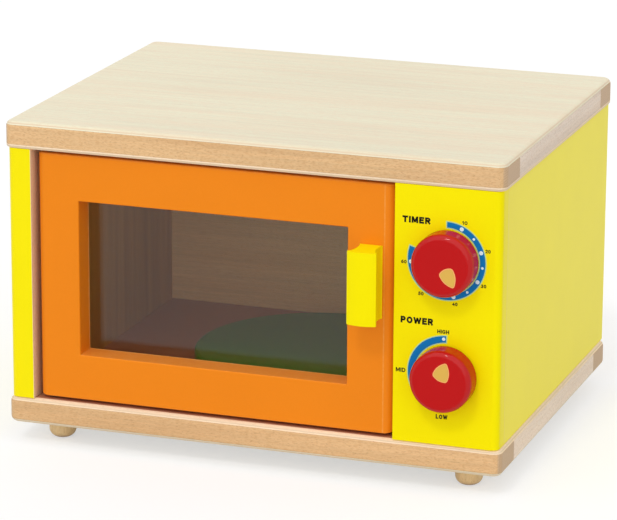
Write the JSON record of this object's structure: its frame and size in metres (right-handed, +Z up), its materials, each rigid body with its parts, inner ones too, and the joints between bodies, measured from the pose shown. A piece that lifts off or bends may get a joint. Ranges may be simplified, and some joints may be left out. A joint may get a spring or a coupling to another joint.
{
  "type": "toy microwave",
  "caption": "Wooden play microwave: a case of sandwich boards and panels, a framed window door on pivot pins, turning knobs and a turntable.",
  "frame": {"origin": "middle of the bounding box's floor, under the feet", "axes": "+X to the right seen from the front, +Y from the door to the back, +Z up"},
  "size_m": [0.34, 0.2818, 0.2206],
  "materials": {
    "beech": "bare sanded wood, satin",
    "pale_ply": "pale veneer, satin lacquer",
    "yellow_paint": "satin paint on wood",
    "orange_paint": "satin paint on wood",
    "red_gloss": "gloss paint on turned wood",
    "green_paint": "satin paint on wood",
    "zinc_steel": "zinc plate",
    "nylon": "black nylon",
    "smoked_acrylic": "clear brown tint, polished"
  },
  "bodies": {
    "cabinet": {"base_outer_skin": "pale_ply", "base_inner_skin": "pale_ply", "base_front_rail": "beech", "base_back_rail": "beech", "base_left_rail": "beech", "base_right_rail": "beech", "base_centre_rail": "beech", "top_outer_skin": "pale_ply", "top_inner_skin": "pale_ply", "top_front_rail": "beech", "top_back_rail": "beech", "top_left_rail": "beech", "top_right_rail": "beech", "left_side_panel": "yellow_paint", "right_side_panel": "yellow_paint", "control_panel": "yellow_paint", "back_panel": "pale_ply", "back_screw_1": "zinc_steel", "back_screw_2": "zinc_steel", "back_screw_3": "zinc_steel", "back_screw_4": "zinc_steel", "foot_front_left": "beech", "foot_front_right": "beech", "foot_back_left": "beech", "foot_back_right": "beech", "dowel_left_front_lower": "beech", "dowel_left_front_upper": "beech", "dowel_left_back_lower": "beech", "dowel_left_back_upper": "beech", "dowel_right_front_lower": "beech", "dowel_right_front_upper": "beech", "dowel_right_back_lower": "beech", "dowel_right_back_upper": "beech", "door_stop_batten": "beech", "catch_magnet": "zinc_steel", "hinge_pin_lower": "zinc_steel", "hinge_pin_upper": "zinc_steel", "hinge_washer_lower": "nylon", "hinge_washer_upper": "nylon", "turntable_screw": "zinc_steel", "turntable_washer": "nylon"},
    "door": {"door_frame": "orange_paint", "door_window": "smoked_acrylic", "window_screw_1": "zinc_steel", "window_screw_2": "zinc_steel", "window_screw_3": "zinc_steel", "window_screw_4": "zinc_steel", "door_handle": "yellow_paint", "handle_screw_lower": "zinc_steel", "handle_screw_upper": "zinc_steel", "catch_striker": "zinc_steel"},
    "timer_knob": {"timer_knob": "red_gloss", "timer_bolt": "zinc_steel", "timer_washer": "zinc_steel"},
    "power_knob": {"power_knob": "red_gloss", "power_bolt": "zinc_steel", "power_washer": "zinc_steel"},
    "turntable": {"turntable": "green_paint"}
  },
  "joints": [
    {"name": "door_hinge", "type": "hinge", "parent": "cabinet", "child": "door", "pos_m": [-0.1403, -0.11055, 0.1176], "axis": [0, 0, -1], "range_deg": [0, 100]},
    {"name": "timer_knob_turn", "type": "hinge", "parent": "cabinet", "child": "timer_knob", "pos_m": [0.1331, -0.13765, 0.1548], "axis": [0, 1, 0], "continuous": true},
    {"name": "power_knob_turn", "type": "hinge", "parent": "cabinet", "child": "power_knob", "pos_m": [0.1331, -0.13765, 0.0788], "axis": [0, 1, 0], "continuous": true},
    {"name": "turntable_turn", "type": "hinge", "parent": "cabinet", "child": "turntable", "pos_m": [0, 0.01575, 0.0352], "axis": [0, 0, 1], "continuous": true}
  ]
}
